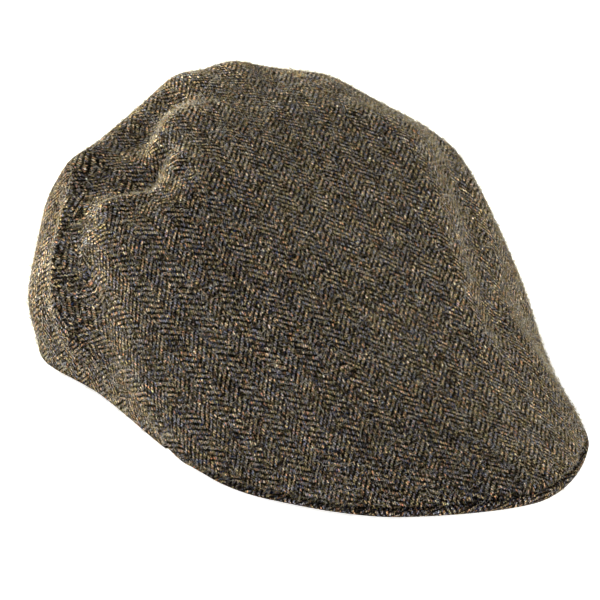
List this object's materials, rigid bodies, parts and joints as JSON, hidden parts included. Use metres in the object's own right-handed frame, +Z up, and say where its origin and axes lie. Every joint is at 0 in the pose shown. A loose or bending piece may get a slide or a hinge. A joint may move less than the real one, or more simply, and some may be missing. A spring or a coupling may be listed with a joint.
{
  "type": "flat cap",
  "caption": "Soft flat cap of herringbone tweed with a one-piece top panel that runs out over a stiff peak, open beneath for the head.",
  "frame": {"origin": "on the surface that the cap rests on, under the middle of its outline", "axes": "+Y from the peak to the back, +X towards the wearer's left, +Z up"},
  "size_m": [0.2012, 0.2818, 0.1092],
  "materials": {
    "top_tweed": "matt brushed wool",
    "side_tweed": "matt brushed wool",
    "peak_tweed": "matt brushed wool",
    "band_cloth": "plain woven"
  },
  "bodies": {
    "root": {"top_panel": "top_tweed", "side_panel_left": "side_tweed", "side_panel_right": "side_tweed", "peak": "peak_tweed", "headband": "band_cloth"}
  },
  "joints": []
}
